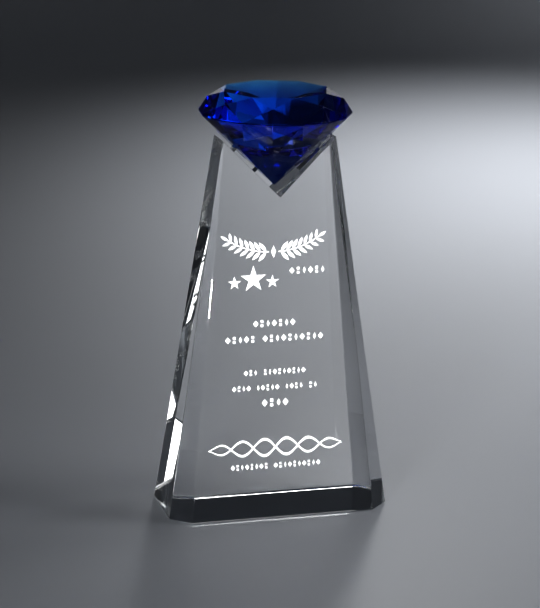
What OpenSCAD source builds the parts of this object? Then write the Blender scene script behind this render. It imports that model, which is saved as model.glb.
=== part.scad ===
// Crystal award: a clear tapered tower with a V cut across its top, and a blue brilliant-cut
// diamond bonded into the V. Millimetres, +Z up, origin at the middle of the foot, front at -Y.

/* [Tower] */
// Width of the tower at its foot, left to right
base_w = 120; // [112:1:135]
// Depth of the tower at its foot, front to back
base_d = 57; // [50:1:70]
// Height of the two tips above the foot
tower_h = 201; // [190:1:225]
// Width of the tower across its two tips
top_w = 61; // [56:1:68]
// Depth of the tower at its tips
top_d = 19; // [15:1:26]
// Corner chamfer at the foot
foot_chamfer = 10; // [5:0.5:13]
// Corner chamfer at the tips
tip_chamfer = 0.6; // [0.4:0.1:1.5]
// Bevel polished round the bottom edge
foot_bevel = 0.8; // [0.4:0.1:1.5]

/* [Diamond] */
// Diameter of the diamond across its girdle
diamond_d = 80; // [74:1:86]
// Height of the crown, from girdle to table
crown_h = 11.2; // [8:0.2:15]
// Depth of the pavilion, from girdle to point
pavilion_h = 38.4; // [37:0.2:40]
// Thickness of the girdle
girdle_t = 0.8; // [0.4:0.1:2]
// Corner radius of the table, as a share of the girdle's radius
table_share = 0.71; // [0.6:0.01:0.75]
// Radius that the star facets reach, as a share of the girdle's radius
star_share = 0.885; // [0.86:0.005:0.91]
// Radius that the pavilion's main facets are widest at, as a share of the girdle's radius
main_share = 0.52; // [0.4:0.01:0.6]
// Flat ground on the diamond's point
culet_d = 0.8; // [0.4:0.1:2]
// Turn of the diamond about its axis, 0 with a main facet square to each wall of the V
diamond_turn = 5; // [-12:0.5:12]
// Height of the diamond's point above the bottom of the V
point_rise = 4.3; // [3.5:0.1:6]

/* [Bond pads] */
// Length of each clear pad, up the wall of the V
pad_l = 16; // [10:0.5:18]
// Width of each clear pad, front to back
pad_w = 10; // [6:0.5:12]
// Distance from the bottom of the V to the lower end of the pads, up the wall
pad_start = 17; // [14:0.5:20]

/* [Engraving] */
// Depth of the engraved marks, which the white fill takes up
engraving_depth = 0.4; // [0.2:0.1:1]
// Sideways place of the engraving's middle on the front face
engraving_x = -4; // [-5:0.5:1]
// Height of the laurel's middle
laurel_z = 146; // [144:0.5:148]
// Height of the middle star
stars_z = 128.5; // [124:0.5:130]
// Height of the award lines' middle
award_z = 101; // [96:1:108]
// Height of the citation lines' middle
citation_z = 71; // [66:1:78]
// Height of the name flourish's middle
flourish_z = 39; // [36:1:48]

/* [Hidden] */

// The body runs this far past the tips before the V is cut, so that the tips end clean
overrun = 4;
// Cutters of the engraving stand this far proud of the front face
cut_over = 1;
// The V has 90 degree walls that end at the two tips
wall_angle = 45;
groove_z = tower_h - top_w / 2 * tan(wall_angle);
// The front face leans back by this much
lean = atan((base_d - top_d) / 2 / tower_h);

girdle_r = diamond_d / 2;
table_r = girdle_r * table_share;
star_r = girdle_r * star_share;
main_r = girdle_r * main_share;
culet_r = culet_d / 2;
point_z = groove_z + point_rise;
girdle_low_z = point_z + pavilion_h;
girdle_high_z = girdle_low_z + girdle_t;
table_z = girdle_high_z + crown_h;
// Eight-fold cut: the facets repeat every 45 degrees and mirror every 22.5
half_step = 22.5;
// Pads reach this far off the wall before the diamond is cut out of them
pad_reach = 8;

// ---------- tower ----------

// Size of the tower's outline at height z, straight from foot to tip
function tapered(foot, tip, z) = foot + (tip - foot) * z / tower_h;

// Corners of a rectangle with chamfered corners, counterclockwise from the front right
function outline(half_w, half_d, chamfer, z) = [
    for (side = [[1, -1], [1, 1], [-1, 1], [-1, -1]])
        let (
            end_cut = [side[0] * (half_w - chamfer), side[1] * half_d, z],
            side_cut = [side[0] * half_w, side[1] * (half_d - chamfer), z]
        )
        each (side[0] * side[1] < 0 ? [end_cut, side_cut] : [side_cut, end_cut])
];

function section(z) = outline(
    tapered(base_w, top_w, z) / 2, tapered(base_d, top_d, z) / 2,
    tapered(foot_chamfer, tip_chamfer, z), z
);

// The bottom outline is set in by the bevel on all eight sides
function sole() = outline(
    base_w / 2 - foot_bevel, base_d / 2 - foot_bevel,
    foot_chamfer - foot_bevel * (2 - sqrt(2)), 0
);

// Faces of a stack of rings with n corners each, the first ring lowest
function stack_faces(rings, n) = concat(
    [[for (i = [0:n - 1]) i]],
    [
        for (r = [0:rings - 2], i = [0:n - 1])
            [r * n + i, (r + 1) * n + i, (r + 1) * n + (i + 1) % n, r * n + (i + 1) % n]
    ],
    [[for (i = [n - 1:-1:0]) (rings - 1) * n + i]]
);

module tapered_body() {
    polyhedron(
        points = concat(sole(), section(foot_bevel), section(tower_h + overrun)),
        faces = stack_faces(3, 8)
    );
}

// Wedge that cuts the V from front to back
module groove_cutter() {
    rise = top_w / 2 + 2 * overrun;
    rotate([90, 0, 0])
        linear_extrude(height = base_d, center = true)
            polygon([
                [0, groove_z],
                [rise, groove_z + rise * tan(wall_angle)],
                [-rise, groove_z + rise * tan(wall_angle)]
            ]);
}

module crystal_tower() {
    color("lightcyan", 0.4)
        difference() {
            tapered_body();
            groove_cutter();
            sunk(cut_over) {
                laurel();
                stars();
                award_lines();
                citation_lines();
                name_flourish();
            }
        }
}

// ---------- diamond ----------

function at_angle(r, a, z) = [r * cos(a), r * sin(a), z];

// Each main facet of crown and pavilion faces i * 45 degrees, and the corners of the star
// facets and of the pavilion's main facets lie half a step further on, in the same planes
star_z = table_z - (star_r * cos(half_step) - table_r) * crown_h / (girdle_r - table_r);
pavilion_slope = pavilion_h / (girdle_r - culet_r * cos(half_step));
function pavilion_z(r) = point_z + (r - culet_r) * cos(half_step) * pavilion_slope;

DIAMOND_POINTS = concat(
    [for (i = [0:7]) at_angle(table_r, 2 * i * half_step, table_z)],
    [for (i = [0:7]) at_angle(star_r, (2 * i + 1) * half_step, star_z)],
    [for (i = [0:15]) at_angle(girdle_r, i * half_step, girdle_high_z)],
    [for (i = [0:15]) at_angle(girdle_r, i * half_step, girdle_low_z)],
    [for (i = [0:7]) at_angle(main_r, (2 * i + 1) * half_step, pavilion_z(main_r))],
    [for (i = [0:7]) at_angle(culet_r, (2 * i + 1) * half_step, point_z)]
);

// Where each group of points starts
STAR = 8;
HIGH = 16;
LOW = 32;
MAIN = 48;
CULET = 56;

function next(i) = (i + 1) % 8;

DIAMOND_FACES = concat(
    [[for (i = [7:-1:0]) i]],
    [for (i = [0:7]) [i, next(i), STAR + i]],
    [for (i = [0:7]) [next(i), STAR + next(i), HIGH + 2 * next(i), STAR + i]],
    [for (i = [0:7]) [STAR + i, HIGH + 2 * i + 1, HIGH + 2 * i]],
    [for (i = [0:7]) [STAR + i, HIGH + 2 * next(i), HIGH + 2 * i + 1]],
    [for (i = [0:15]) [HIGH + i, HIGH + (i + 1) % 16, LOW + (i + 1) % 16, LOW + i]],
    [for (i = [0:7]) [MAIN + i, LOW + 2 * i, LOW + 2 * i + 1]],
    [for (i = [0:7]) [MAIN + i, LOW + 2 * i + 1, LOW + 2 * next(i)]],
    [for (i = [0:7]) [MAIN + i, LOW + 2 * next(i), MAIN + next(i), CULET + next(i), CULET + i]],
    [[for (i = [0:7]) CULET + i]]
);

module brilliant() {
    rotate([0, 0, diamond_turn])
        polyhedron(points = DIAMOND_POINTS, faces = DIAMOND_FACES);
}

module blue_diamond() {
    color("mediumblue", 0.8)
        brilliant();
}

// ---------- bond pads ----------

// Clear pad between one wall of the V and the main facet that faces it, side 1 on the right
module bond_pad(side) {
    color("white", 0.5)
        difference() {
            mirror([side < 0 ? 1 : 0, 0, 0])
                translate([0, 0, groove_z])
                    rotate([0, -wall_angle, 0])
                        translate([pad_start, -pad_w / 2, 0])
                            cube([pad_l, pad_w, pad_reach]);
            brilliant();
        }
}

module bond_pad_left() {
    bond_pad(-1);
}

module bond_pad_right() {
    bond_pad(1);
}

// ---------- engraving ----------

// Height above the foot, measured up the leaning face
function up_face(z) = z / cos(lean);

// Flat marks drawn at (x, height up the face), made solid from the engraving's floor to
// a distance above the front face
module sunk(above) {
    translate([0, -base_d / 2, 0])
        rotate([90 - lean, 0, 0])
            translate([engraving_x, 0, -engraving_depth])
                linear_extrude(height = engraving_depth + above)
                    children();
}

module white_fill() {
    color("white")
        sunk(0)
            children();
}

module lozenge(width, height) {
    polygon([[width / 2, 0], [0, height / 2], [-width / 2, 0], [0, -height / 2]]);
}

// Pointed oval that starts at the origin and lies along +X
module leaf(length, width) {
    steps = 6;
    polygon(concat(
        [for (i = [0:steps]) [length * i / steps, -width / 2 * sin(180 * i / steps)]],
        [for (i = [steps - 1:-1:1]) [length * i / steps, width / 2 * sin(180 * i / steps)]]
    ));
}

// Laurel: two sprays of paired leaves that rise to the sides from a lozenge in the middle
spray_start = 2.6;
spray_l = 22;
spray_rise = 7;
leaf_pairs = 7;
leaf_l = 6.6;
leaf_w = 2.1;
leaf_angle = 50;
// Share of its size that a leaf has lost by the end of the spray
leaf_shrink = 0.25;
stem_w = 0.7;
// Share of the way to the next pair that the first pair of leaves has grown out at
first_pair = 0.4;
// The end leaf starts just inside the end of the stem
end_leaf = 0.98;

function stem(t) = [spray_start + spray_l * t, spray_rise * t * t];
function stem_angle(t) = atan2(2 * spray_rise * t, spray_l);
function leaf_size(t) = 1 - leaf_shrink * t;

module leaf_at(t, angle) {
    translate(stem(t))
        rotate(stem_angle(t) + angle)
            leaf(leaf_l * leaf_size(t), leaf_w * leaf_size(t));
}

module spray() {
    steps = 8;
    polygon(concat(
        [for (i = [0:steps]) stem(i / steps) - [0, stem_w / 2]],
        [for (i = [steps:-1:0]) stem(i / steps) + [0, stem_w / 2]]
    ));
    for (i = [0:leaf_pairs - 1], side = [-1, 1])
        leaf_at((i + first_pair) / leaf_pairs, side * leaf_angle);
    leaf_at(end_leaf, 0);
}

module laurel() {
    translate([0, up_face(laurel_z) - spray_rise / 2]) {
        lozenge(spray_start, leaf_l);
        for (side = [0, 1])
            mirror([side, 0])
                spray();
    }
}

// A large star with a smaller one on each side, left of the engraving's middle
stars_x = -11;
star_size = 7.2;
star_spacing = 10.2;
star_drop = 1.6;

module star(radius) {
    inner = radius * sin(18) / sin(54);
    polygon([
        for (i = [0:9])
            let (r = i % 2 == 0 ? radius : inner)
            [r * sin(36 * i), r * cos(36 * i)]
    ]);
}

module stars() {
    translate([stars_x, up_face(stars_z)]) {
        star(star_size);
        for (side = [-1, 1])
            translate([side * star_spacing, -star_drop])
                star(star_size / 2);
    }
}

// Rows of small marks in groups, one after the other: lozenge, pair of squares, slim lozenge
award_mark = 3.6;
award_pitch = 3.35;
award_spacing = 8;
citation_mark = 3;
citation_pitch = 2.6;
citation_spacing = 8.2;
figure_mark = 4;
figure_pitch = 3.8;
// Widths of the two lozenges and of a square, as shares of the mark's height
wide_share = 0.8;
slim_share = 0.45;
square_share = 0.4;

function marks_before(groups, n) = n == 0 ? 0 : marks_before(groups, n - 1) + groups[n - 1] + 1;

module row_mark(kind, height) {
    if (kind == 0)
        lozenge(wide_share * height, height);
    if (kind == 1)
        for (side = [-1, 1])
            translate([0, side * (1 - square_share) / 2 * height])
                square(square_share * height, center = true);
    if (kind == 2)
        lozenge(slim_share * height, height);
}

// Row centred on x at height z, with a free place between groups
module mark_row(groups, height, pitch, x, z) {
    middle = (marks_before(groups, len(groups)) - 2) / 2;
    for (g = [0:len(groups) - 1], i = [0:groups[g] - 1]) {
        place = marks_before(groups, g) + i;
        translate([x + (place - middle) * pitch, up_face(z)])
            row_mark(place % 3, height);
    }
}

// One short row beside the stars and two rows below them
module award_lines() {
    mark_row([6], award_mark, award_pitch, star_size - stars_x, stars_z + award_mark);
    mark_row([7], award_mark, award_pitch, 0, award_z + award_spacing / 2);
    mark_row([5, 10], award_mark, award_pitch, 0, award_z - award_spacing / 2);
}

module citation_lines() {
    mark_row([3, 9], citation_mark, citation_pitch, 0, citation_z + citation_spacing);
    mark_row([4, 5, 4, 2], citation_mark, citation_pitch, 0, citation_z);
    mark_row([4], figure_mark, figure_pitch, 0, citation_z - citation_spacing);
}

// Two ribbons that wind round each other and taper to both ends, with a row of marks below
flourish_l = 73;
flourish_h = 9;
flourish_turns = 3;
flourish_drop = 10;
ribbon_w = 1.5;
ribbon_end_w = 0.3;

// Height and half width of a ribbon at x, where the flourish's ends are at -1 and 1
function swell(x) = sqrt(1 - x * x);
function ribbon_y(x) = flourish_h / 2 * swell(x) * sin(180 * flourish_turns * x);
function ribbon_half_w(x) = (ribbon_end_w + (ribbon_w - ribbon_end_w) * swell(x)) / 2;

module ribbon(turn) {
    steps = 72;
    xs = [for (i = [0:steps]) 2 * i / steps - 1];
    polygon([
        for (side = [-1, 1], i = [0:steps])
            let (x = xs[i] * -side)
            [x * flourish_l / 2, turn * ribbon_y(x) + side * ribbon_half_w(x)]
    ]);
}

module name_flourish() {
    translate([0, up_face(flourish_z)])
        for (turn = [-1, 1])
            ribbon(turn);
    mark_row([8, 10], citation_mark, citation_pitch, 0, flourish_z - flourish_drop);
}

module white_fill_laurel() {
    white_fill()
        laurel();
}

module white_fill_stars() {
    white_fill()
        stars();
}

module white_fill_award_lines() {
    white_fill()
        award_lines();
}

module white_fill_citation_lines() {
    white_fill()
        citation_lines();
}

module white_fill_name_flourish() {
    white_fill()
        name_flourish();
}

crystal_tower();
blue_diamond();
bond_pad_left();
bond_pad_right();
white_fill_laurel();
white_fill_stars();
white_fill_award_lines();
white_fill_citation_lines();
white_fill_name_flourish();
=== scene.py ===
import math

import bmesh
import bpy
from mathutils import Matrix, Vector


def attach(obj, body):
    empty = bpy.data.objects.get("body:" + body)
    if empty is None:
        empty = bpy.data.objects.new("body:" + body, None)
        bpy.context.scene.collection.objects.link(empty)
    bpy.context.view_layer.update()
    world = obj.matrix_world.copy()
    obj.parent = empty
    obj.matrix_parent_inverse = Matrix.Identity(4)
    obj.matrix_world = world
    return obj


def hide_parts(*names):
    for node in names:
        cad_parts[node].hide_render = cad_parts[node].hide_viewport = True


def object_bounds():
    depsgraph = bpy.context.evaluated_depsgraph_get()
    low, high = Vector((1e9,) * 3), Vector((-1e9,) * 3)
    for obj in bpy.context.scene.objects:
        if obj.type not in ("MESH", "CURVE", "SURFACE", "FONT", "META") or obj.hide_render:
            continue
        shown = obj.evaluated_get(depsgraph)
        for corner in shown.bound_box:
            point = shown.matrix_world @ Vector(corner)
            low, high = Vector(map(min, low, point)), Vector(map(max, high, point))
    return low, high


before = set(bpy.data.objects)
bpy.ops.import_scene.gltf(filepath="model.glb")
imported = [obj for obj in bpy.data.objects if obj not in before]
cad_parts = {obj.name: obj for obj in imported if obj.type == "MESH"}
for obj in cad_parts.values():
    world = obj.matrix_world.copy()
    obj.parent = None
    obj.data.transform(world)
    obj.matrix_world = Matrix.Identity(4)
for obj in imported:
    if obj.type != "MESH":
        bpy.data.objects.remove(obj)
cad_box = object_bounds()
scene = bpy.context.scene

MM = 0.001
TOWER = "crystal_tower"
DIAMOND = "blue_diamond"
PADS = ("bond_pad_left", "bond_pad_right")
FILLS = (
    "white_fill_laurel",
    "white_fill_stars",
    "white_fill_award_lines",
    "white_fill_citation_lines",
    "white_fill_name_flourish",
)

# Widths of the rounded, polished edges
TOWER_ARRIS = 0.45 * MM
DIAMOND_ARRIS = 0.10 * MM
PAD_ARRIS = 0.15 * MM
# Rounded faces nearer to the tower's underside than this have the satin finish of the foot
FOOT_EDGE = 0.5 * MM
# A bond pad stands this far off its neighbours, and a fill this far proud of the glass
PAD_GAP = 0.02 * MM
FILL_GROWTH = 0.02 * MM
# Tolerances for reading the CAD faces
WELD_DISTANCE = 1e-7
PLANE_DISTANCE = 1e-6
FLAT_ANGLE = math.radians(0.05)
# The normal of a wall of the V has next to no y and at least this z, and the front's has at most this y
GROOVE_MAX_Y, GROOVE_MIN_Z = 0.01, 0.5
FRONT_MAX_Y = -0.9


# ---------- meshes ----------

def welded(node):
    """A bmesh of a CAD node with its doubled points joined."""
    bm = bmesh.new()
    bm.from_mesh(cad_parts[node].data)
    bmesh.ops.remove_doubles(bm, verts=bm.verts, dist=WELD_DISTANCE)
    bm.normal_update()
    return bm


def merge_flat(bm):
    """Joins triangles that lie in one plane into the facet that they make up."""
    bmesh.ops.dissolve_limit(bm, angle_limit=FLAT_ANGLE, verts=bm.verts, edges=bm.edges)
    bm.normal_update()


def grow(bm, distance):
    """Moves every face out by about distance, along the points' normals."""
    bm.normal_update()
    for v in bm.verts:
        v.co += v.normal * v.calc_shell_factor() * distance


def polish_edges(bm, width, segments=2):
    """Rounds every edge of a cut and polished body by a hair, and returns the new faces."""
    made = bmesh.ops.bevel(
        bm, geom=list(bm.edges), offset=width, segments=segments, profile=0.5,
        affect="EDGES", clamp_overlap=True,
    )
    for face in made["faces"]:
        face.smooth = True
    bm.normal_update()
    return made["faces"]


def new_object(name, bm):
    """An object in the scene that takes over the bmesh."""
    mesh = bpy.data.meshes.new(name)
    bm.to_mesh(mesh)
    bm.free()
    obj = bpy.data.objects.new(name, mesh)
    scene.collection.objects.link(obj)
    return obj


def on_hull(face, points):
    """Whether all of the body lies behind the face's plane."""
    origin = face.verts[0].co
    return all((p - origin).dot(face.normal) < PLANE_DISTANCE for p in points)


def is_groove_wall(face):
    """Whether the face is a wall of the V, which faces up and to one side."""
    return abs(face.normal.y) < GROOVE_MAX_Y and face.normal.z > GROOVE_MIN_Z


def bare_tower():
    """The tower's polished faces, one polygon each, without the engraved recesses."""
    bm = welded(TOWER)
    points = [v.co.copy() for v in bm.verts]
    cut = [f for f in bm.faces if not (on_hull(f, points) or is_groove_wall(f))]
    front = [f for f in bm.faces if on_hull(f, points) and f.normal.y < FRONT_MAX_Y]
    bmesh.ops.delete(bm, geom=cut + front, context="FACES")
    rim = [e for e in bm.edges if e.is_boundary]
    bmesh.ops.contextual_create(bm, geom=rim)
    bm.normal_update()
    merge_flat(bm)
    bmesh.ops.recalc_face_normals(bm, faces=bm.faces)
    return bm


def make_tower():
    """The clear tower, with a second material slot for the satin edge round its foot."""
    bm = bare_tower()
    foot = min(v.co.z for v in bm.verts)
    for face in polish_edges(bm, TOWER_ARRIS, segments=3):
        if face.calc_center_median().z < foot + FOOT_EDGE:
            face.material_index = 1
    return new_object("polished_tower", bm)


def make_diamond():
    """The blue stone, one polygon for each facet."""
    bm = welded(DIAMOND)
    merge_flat(bm)
    polish_edges(bm, DIAMOND_ARRIS, segments=1)
    return new_object("brilliant_diamond", bm)


def make_pad(node):
    """A bond pad, a hair smaller than the gap that it fills."""
    bm = welded(node)
    merge_flat(bm)
    grow(bm, -PAD_GAP)
    polish_edges(bm, PAD_ARRIS)
    return new_object("clear_" + node, bm)


def make_fill(node):
    """A group of enamel marks, a hair proud of the glass."""
    bm = welded(node)
    grow(bm, FILL_GROWTH)
    return new_object("enamel_" + node.removeprefix("white_fill_"), bm)


# ---------- materials ----------

# Refractive index, absorption colour and absorption density in 1/m
CLEAR_IOR, CLEAR_TINT, CLEAR_DENSITY = 1.517, (0.62, 0.68, 0.70), 1.2
BLUE_IOR, BLUE_TINT, BLUE_DENSITY = 1.53, (0.0, 0.64, 0.97), 100.0
ADHESIVE_IOR, ADHESIVE_TINT, ADHESIVE_DENSITY = 1.49, (0.7, 0.8, 0.7), 4.0
# Scale and detail of the faint waves that polishing leaves in a face, and their heights
WAVES = 45.0, 1.0
CLEAR_WAVES = 0.004 * MM
FOOT_WAVES = 0.01 * MM
BLUE_WAVES = 0.002 * MM
ADHESIVE_WAVES = 0.02 * MM
FOOT_ROUGHNESS = 0.15
# The enamel's grain is scale, detail and roughness of its noise, and a cloud is scale and detail
GRAIN = 9000.0, 3.0, 0.7
GRAIN_HEIGHT = 0.05 * MM
ENAMEL_CLOUD = 300.0, 2.0
ENAMEL_SHADES = (0.83, 0.835, 0.84), (0.93, 0.93, 0.925)
ENAMEL_ROUGHNESS = 0.45, 0.75
FLOOR_CLOUD = 2.0, 3.0
FLOOR_SHADES = (0.55, 0.572, 0.615), (0.58, 0.602, 0.645)
FLOOR_ROUGHNESS = 0.34


def new_material(name):
    """A material with its node tree and its Principled shader."""
    mat = bpy.data.materials.new(name)
    mat.use_nodes = True
    tree = mat.node_tree
    shader = tree.nodes["Principled BSDF"]
    return mat, tree, shader


def noise(tree, scale, detail, roughness=0.5):
    """The value of a noise that is fixed to the object."""
    place = tree.nodes.new("ShaderNodeTexCoord")
    tex = tree.nodes.new("ShaderNodeTexNoise")
    tex.inputs["Scale"].default_value = scale
    tex.inputs["Detail"].default_value = detail
    tex.inputs["Roughness"].default_value = roughness
    tree.links.new(place.outputs["Object"], tex.inputs["Vector"])
    return tex.outputs["Fac"]


def ranged(tree, value, low, high):
    """Spreads a value between 0 and 1 over low to high."""
    ramp = tree.nodes.new("ShaderNodeMapRange")
    ramp.inputs["To Min"].default_value = low
    ramp.inputs["To Max"].default_value = high
    tree.links.new(value, ramp.inputs["Value"])
    return ramp.outputs["Result"]


def bump(tree, height, distance):
    """A normal that shows height as relief, distance high where height is 1."""
    node = tree.nodes.new("ShaderNodeBump")
    node.inputs["Strength"].default_value = 1.0
    node.inputs["Distance"].default_value = distance
    tree.links.new(height, node.inputs["Height"])
    return node.outputs["Normal"]


def clouded(tree, cloud, shades):
    """A colour that drifts between two shades."""
    mix = tree.nodes.new("ShaderNodeMix")
    mix.data_type = "RGBA"
    for socket, shade in zip("AB", shades):
        mix.inputs[socket].default_value = (*shade, 1)
    tree.links.new(noise(tree, *cloud), mix.inputs["Factor"])
    return mix.outputs["Result"]


def glass(name, ior, absorb_colour, absorb_density, wave_height, roughness=0.0):
    """Solid glass that takes its colour from the depth of glass that light goes through."""
    mat, tree, shader = new_material(name)
    shader.inputs["Base Color"].default_value = (1, 1, 1, 1)
    shader.inputs["Roughness"].default_value = roughness
    shader.inputs["IOR"].default_value = ior
    shader.inputs["Transmission Weight"].default_value = 1.0
    absorb = tree.nodes.new("ShaderNodeVolumeAbsorption")
    absorb.inputs["Color"].default_value = (*absorb_colour, 1)
    absorb.inputs["Density"].default_value = absorb_density
    tree.links.new(absorb.outputs["Volume"], tree.nodes["Material Output"].inputs["Volume"])
    tree.links.new(bump(tree, noise(tree, *WAVES), wave_height), shader.inputs["Normal"])
    return mat


def clear_crystal():
    """Optical crystal, polished all over but for the satin edge round its foot."""
    body = CLEAR_IOR, CLEAR_TINT, CLEAR_DENSITY
    return (
        glass("clear_optical_crystal", *body, CLEAR_WAVES),
        glass("ground_foot_edge", *body, FOOT_WAVES, roughness=FOOT_ROUGHNESS),
    )


def blue_crystal():
    """Crystal that is cyan where it is thin and deep blue where it is thick."""
    return (glass("deep_blue_crystal", BLUE_IOR, BLUE_TINT, BLUE_DENSITY, BLUE_WAVES),)


def adhesive():
    """Clear adhesive, cured."""
    return (glass("cured_adhesive", ADHESIVE_IOR, ADHESIVE_TINT, ADHESIVE_DENSITY, ADHESIVE_WAVES),)


def enamel():
    """Matt white enamel with a fine grain."""
    mat, tree, shader = new_material("white_colour_fill")
    grain = noise(tree, *GRAIN)
    white = clouded(tree, ENAMEL_CLOUD, ENAMEL_SHADES)
    tree.links.new(white, shader.inputs["Base Color"])
    tree.links.new(ranged(tree, grain, *ENAMEL_ROUGHNESS), shader.inputs["Roughness"])
    tree.links.new(bump(tree, grain, GRAIN_HEIGHT), shader.inputs["Normal"])
    return (mat,)


def studio_floor():
    """Pale grey paper with a slight sheen."""
    mat, tree, shader = new_material("pale_floor")
    shade = clouded(tree, FLOOR_CLOUD, FLOOR_SHADES)
    tree.links.new(shade, shader.inputs["Base Color"])
    shader.inputs["Roughness"].default_value = FLOOR_ROUGHNESS
    return mat


# ---------- pieces ----------

def add_piece(obj, node, materials):
    """Dresses a piece and hands it over in place of its CAD node."""
    for material in materials:
        obj.data.materials.append(material)
    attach(obj, "root")
    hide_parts(node)


add_piece(make_tower(), TOWER, clear_crystal())
add_piece(make_diamond(), DIAMOND, blue_crystal())
pad_materials = adhesive()
for pad_node in PADS:
    add_piece(make_pad(pad_node), pad_node, pad_materials)
fill_materials = enamel()
for fill_node in FILLS:
    add_piece(make_fill(fill_node), fill_node, fill_materials)


# ---------- studio ----------

# The floor lies this far under the award, so that the two don't share a plane
FLOOR_GAP = 0.1 * MM
# Radius and height in m of the round floor and the wall that it sweeps up into
FLOOR_R = 2.4
SWEEP_R = 0.9
WALL_TOP = 2.6
FLAT_R = FLOOR_R - SWEEP_R
FLOOR_RINGS = 0.2, 0.5, 1.0, FLAT_R
SWEEP_STEPS = 24
FLOOR_SIDES = 96
WORLD_COLOUR = 0.9, 0.95, 1, 1
WORLD_STRENGTH = 0.038


def floor_profile():
    """Radius and height along the floor, up the sweep and up the wall."""
    profile = [(r, 0.0) for r in FLOOR_RINGS]
    for i in range(1, SWEEP_STEPS + 1):
        a = i / SWEEP_STEPS * math.pi / 2
        profile.append((FLAT_R + SWEEP_R * math.sin(a), SWEEP_R * (1 - math.cos(a))))
    return profile + [(FLOOR_R, WALL_TOP)]


def make_floor():
    """A round floor that sweeps up into a wall all round."""
    bm = bmesh.new()
    base = cad_box[0].z - FLOOR_GAP
    centre = bm.verts.new((0, 0, base))
    rings = []
    for r, z in floor_profile():
        ring = []
        for i in range(FLOOR_SIDES):
            a = 2 * math.pi * i / FLOOR_SIDES
            ring.append(bm.verts.new((r * math.cos(a), r * math.sin(a), base + z)))
        rings.append(ring)
    for i in range(FLOOR_SIDES):
        j = (i + 1) % FLOOR_SIDES
        bm.faces.new((centre, rings[0][i], rings[0][j]))
        for low, high in zip(rings, rings[1:]):
            bm.faces.new((low[i], high[i], high[j], low[j]))
    for face in bm.faces:
        face.smooth = True
    floor = new_object("studio_floor", bm)
    floor.data.materials.append(studio_floor())
    return floor


def soft_box(name, location, target, width, height, power, spread=180):
    """A rectangular lamp in m and W that looks at target, with its beam in degrees."""
    data = bpy.data.lights.new(name, "AREA")
    data.shape = "RECTANGLE"
    data.size, data.size_y = width, height
    data.energy = power
    data.spread = math.radians(spread)
    light = bpy.data.objects.new(name, data)
    light.location = location
    light.rotation_mode = "QUATERNION"
    light.rotation_quaternion = (Vector(target) - light.location).to_track_quat("-Z", "Y")
    light.visible_camera = False
    scene.collection.objects.link(light)


def light_the_air():
    """A faint even light from all round."""
    world = bpy.data.worlds.new("studio_air")
    world.use_nodes = True
    background = world.node_tree.nodes["Background"]
    background.inputs["Color"].default_value = WORLD_COLOUR
    background.inputs["Strength"].default_value = WORLD_STRENGTH
    scene.world = world


make_floor()
middle = (cad_box[0] + cad_box[1]) / 2
# The floor in front and to the right
soft_box("front_key", (1.0, -0.38, 0.62), (0.45, -0.3, 0), 0.5, 0.5, 0.9, spread=80)
# The white engraving, from low down so that the floor behind it stays calm
soft_box("front_fill", (-0.9, -1.3, 0.07), (0, 0, 0.1), 0.4, 0.1, 0.55, spread=16)
# The bright streaks in the tower's left bevels
soft_box("streak_box", (0.70, 0.17, 0.80), middle, 0.22, 0.42, 0.22, spread=110)
# The pool of light on the floor behind and to the right
soft_box("back_key", (0.52, 1.15, 0.98), (0.56, 0.62, 0), 0.4, 0.6, 2.1, spread=62)
# The white line along the foot's back edge
soft_box("foot_line", (0.5, 1.25, 1.05), (0, 0, 0), 0.12, 0.6, 0.08, spread=40)
# The blue facets of the stone's crown
soft_box("back_glow", (0.62, 1.8, 0.39), (0, 0, 0.22), 1.3, 0.2, 0.3)
light_the_air()


# ---------- camera ----------

# The camera looks this far to the right of straight back, this far down, and leans this far
CAMERA_AZIMUTH = math.radians(15.51)
CAMERA_DROP = math.radians(15.18)
CAMERA_ROLL = math.radians(0.87)
CAMERA_DISTANCE = 1239.8 * MM
CAMERA_LENS, CAMERA_SENSOR = 138.66, 36
CAMERA_CLIP = 0.05, 50
# What it looks at, from the middle of the award
AIM_OFFSET = Vector((-1.4, -0.2, -2.4)) * MM


def make_camera():
    """The camera of the final picture."""
    yaw, drop, roll = CAMERA_AZIMUTH, CAMERA_DROP, CAMERA_ROLL
    flat = math.cos(drop)
    forward = Vector((math.sin(yaw) * flat, math.cos(yaw) * flat, -math.sin(drop)))
    level = Vector((math.cos(yaw), -math.sin(yaw), 0))
    upright = level.cross(forward)
    right = level * math.cos(roll) + upright * math.sin(roll)
    up = upright * math.cos(roll) - level * math.sin(roll)
    data = bpy.data.cameras.new("camera")
    data.lens = CAMERA_LENS
    data.sensor_width = CAMERA_SENSOR
    data.clip_start, data.clip_end = CAMERA_CLIP
    camera = bpy.data.objects.new("camera", data)
    scene.collection.objects.link(camera)
    turn = Matrix((right, up, -forward)).transposed().to_4x4()
    turn.translation = middle + AIM_OFFSET - forward * CAMERA_DISTANCE
    camera.matrix_world = turn
    scene.camera = camera


make_camera()

# Light paths long enough to leave the cut glass
scene.cycles.max_bounces = 32
scene.cycles.transmission_bounces = 32
scene.cycles.glossy_bounces = 16
scene.cycles.sample_clamp_indirect = 6
scene.view_settings.view_transform = "Standard"
scene.view_settings.look = "High Contrast"
